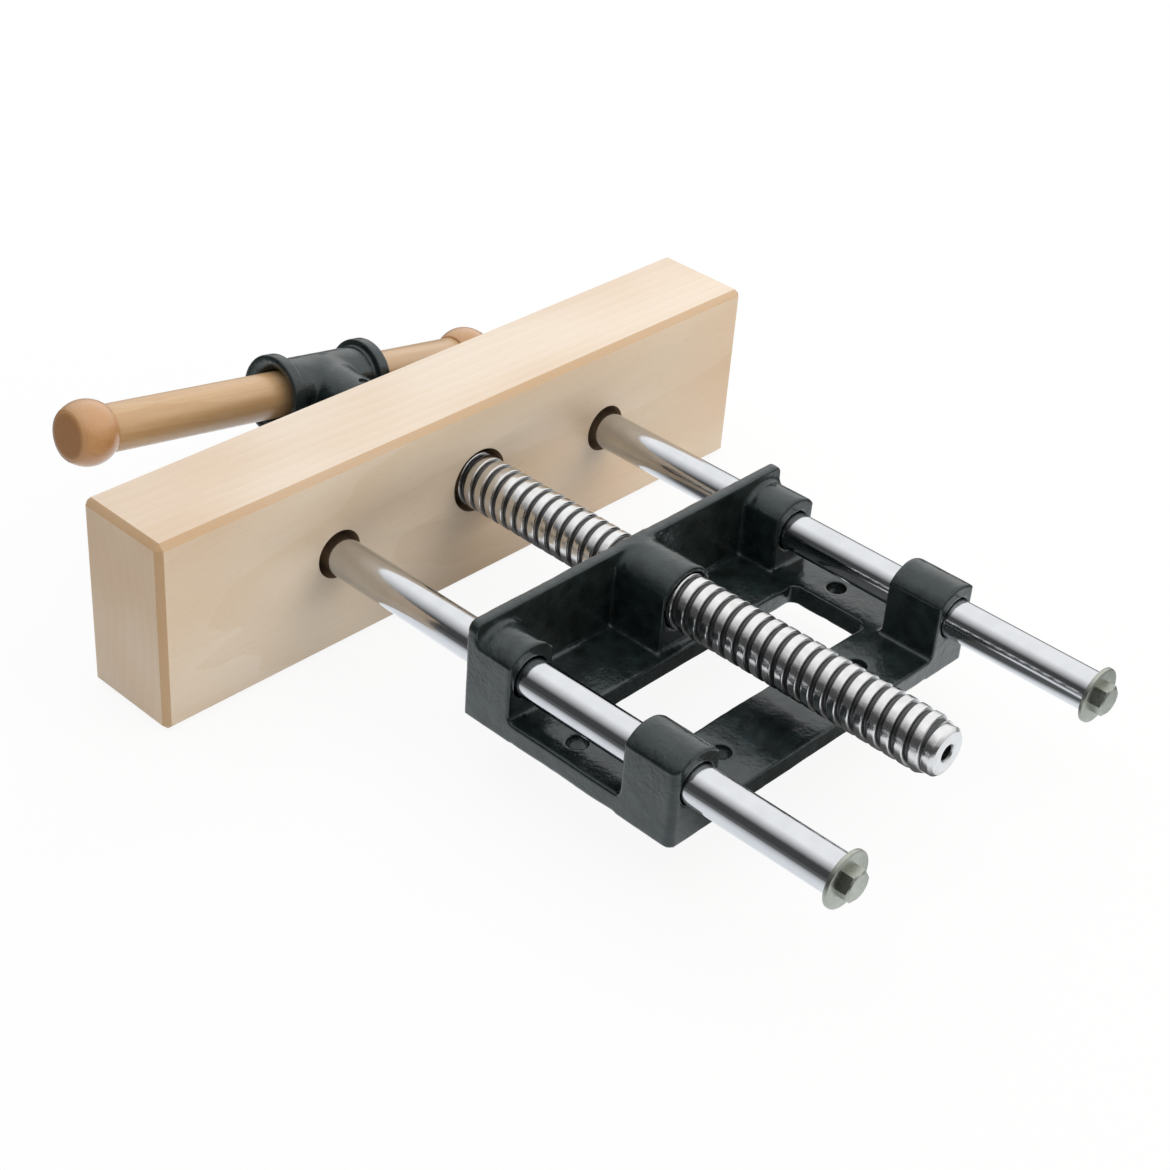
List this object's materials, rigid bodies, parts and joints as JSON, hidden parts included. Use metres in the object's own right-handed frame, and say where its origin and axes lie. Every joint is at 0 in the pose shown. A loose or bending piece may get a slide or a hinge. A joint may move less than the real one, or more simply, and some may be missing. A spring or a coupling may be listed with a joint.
{
  "type": "front vise",
  "caption": "Woodworking front vise: a wide wooden jaw on twin guide rods and a lead screw, carried by a cast bench bracket and wound by a sliding wooden handle.",
  "frame": {"origin": "on the bracket's mounting face, midway between the rear pair of bench bolt holes", "axes": "+X along the jaw, +Y along the guide rods from the handle towards their free ends, +Z from the mounting face towards the rods"},
  "size_m": [0.38, 0.4433, 0.099],
  "materials": {
    "jaw_wood": "planed and lightly oiled beech",
    "handle_wood": "turned and varnished beech",
    "knob_wood": "turned and varnished beech",
    "black_enamel": "gloss black enamel on cast iron",
    "rod_chrome": "chrome-plated ground bar",
    "screw_steel": "bright turned steel, oiled",
    "zinc_plate": "bright zinc plate",
    "black_oxide": "black oxide"
  },
  "bodies": {
    "bracket": {"rear_bracket": "black_enamel"},
    "jaw": {"wood_jaw": "jaw_wood", "front_plate": "black_enamel", "guide_rod_left": "rod_chrome", "guide_rod_right": "rod_chrome", "rod_washer_left": "zinc_plate", "rod_washer_right": "zinc_plate", "rod_bolt_left": "zinc_plate", "rod_bolt_right": "zinc_plate", "rod_pin_left": "screw_steel", "rod_pin_right": "screw_steel", "jaw_screw_1": "zinc_plate", "jaw_screw_2": "zinc_plate", "jaw_screw_3": "zinc_plate", "jaw_screw_4": "zinc_plate"},
    "screw": {"lead_screw": "screw_steel", "thrust_washer": "zinc_plate", "retaining_collar": "screw_steel", "collar_set_screw": "black_oxide", "handle_hub": "black_enamel", "hub_pin": "screw_steel"},
    "handle": {"handle_bar": "handle_wood", "handle_knob_left": "knob_wood", "handle_knob_right": "knob_wood"}
  },
  "joints": [
    {"name": "jaw_slide", "type": "slide", "parent": "bracket", "child": "jaw", "axis": [0, 1, 0], "range_m": [-0.0753, 0.0975]},
    {"name": "screw_turn", "type": "hinge", "parent": "jaw", "child": "screw", "pos_m": [0, -0.3182, 0.0328], "axis": [0, 1, 0], "range_deg": [-3770, 4880]},
    {"name": "handle_slide", "type": "slide", "parent": "screw", "child": "handle", "axis": [0.9839, 0, 0.1788], "range_m": [-0.1057, 0.0677]}
  ],
  "couplings": [
    {"joint": "screw_turn", "follows": "jaw_slide", "rad_per_m": 872.66}
  ]
}
